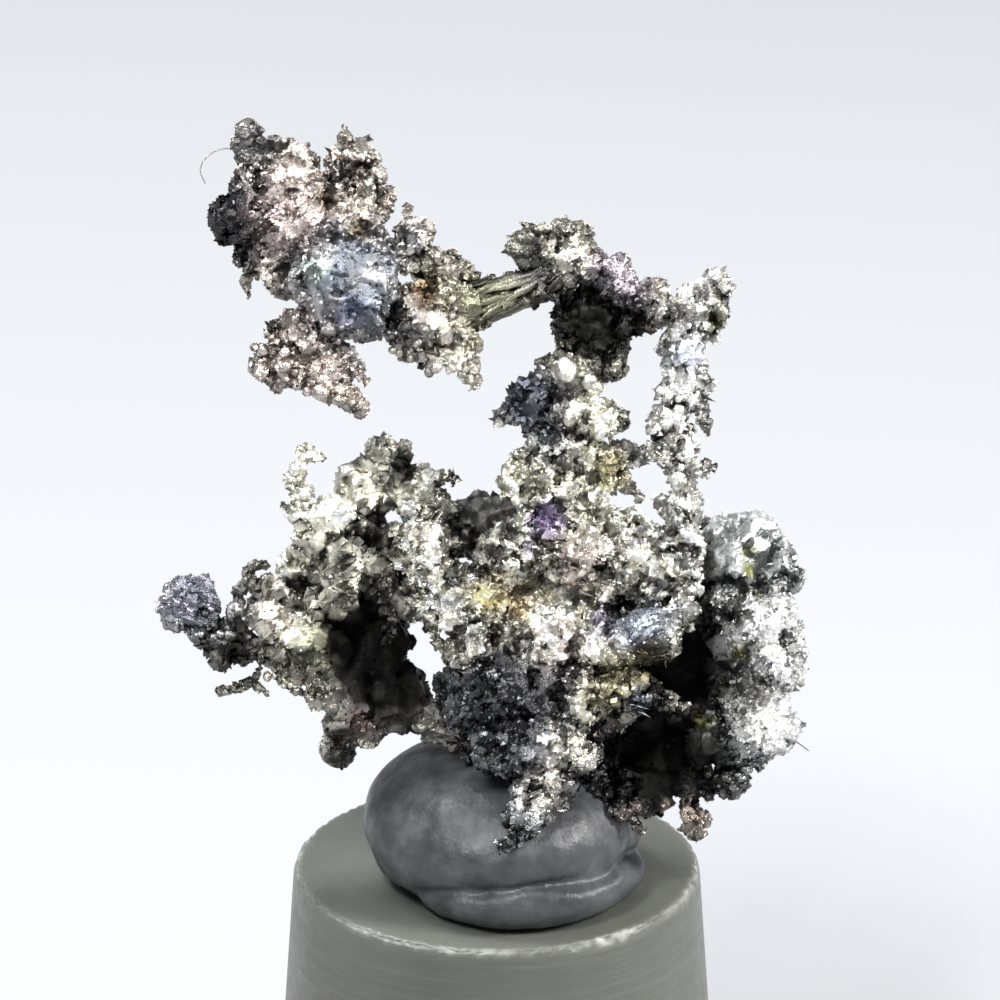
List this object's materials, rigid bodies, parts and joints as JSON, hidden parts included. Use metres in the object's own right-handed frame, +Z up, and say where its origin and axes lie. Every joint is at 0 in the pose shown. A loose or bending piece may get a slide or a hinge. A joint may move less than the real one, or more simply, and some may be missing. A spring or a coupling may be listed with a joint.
{
  "type": "native silver mineral specimen",
  "caption": "Branching native silver crystals leaning back in a pressed ball of grey putty on top of a short frosted display peg.",
  "frame": {"origin": "centre of the peg's flat underside", "axes": "+Z up along the peg, +X to the specimen's right and -Y towards the viewer when it is seen from its display side"},
  "size_m": [0.0194, 0.0138, 0.0335],
  "materials": {
    "silver_bright": "fine-grained bright native silver with yellow, violet and brown tarnish",
    "silver_dark": "dark tarnished native silver with tiny glinting faces",
    "silver_sugary": "white sugary native silver",
    "silver_cream": "cream and pinkish grained native silver",
    "putty": "pressed grey mounting putty, dull with a soft sheen",
    "peg": "frosted translucent plastic with a rough turned rim"
  },
  "bodies": {
    "root": {"body": "silver_bright", "keel": "silver_dark", "right_boss": "silver_sugary", "left_arm": "silver_dark", "left_spray": "silver_cream", "centre_column": "silver_bright", "arch": "silver_bright", "right_column": "silver_sugary", "crown": "silver_cream", "putty": "putty", "peg": "peg"}
  },
  "joints": []
}
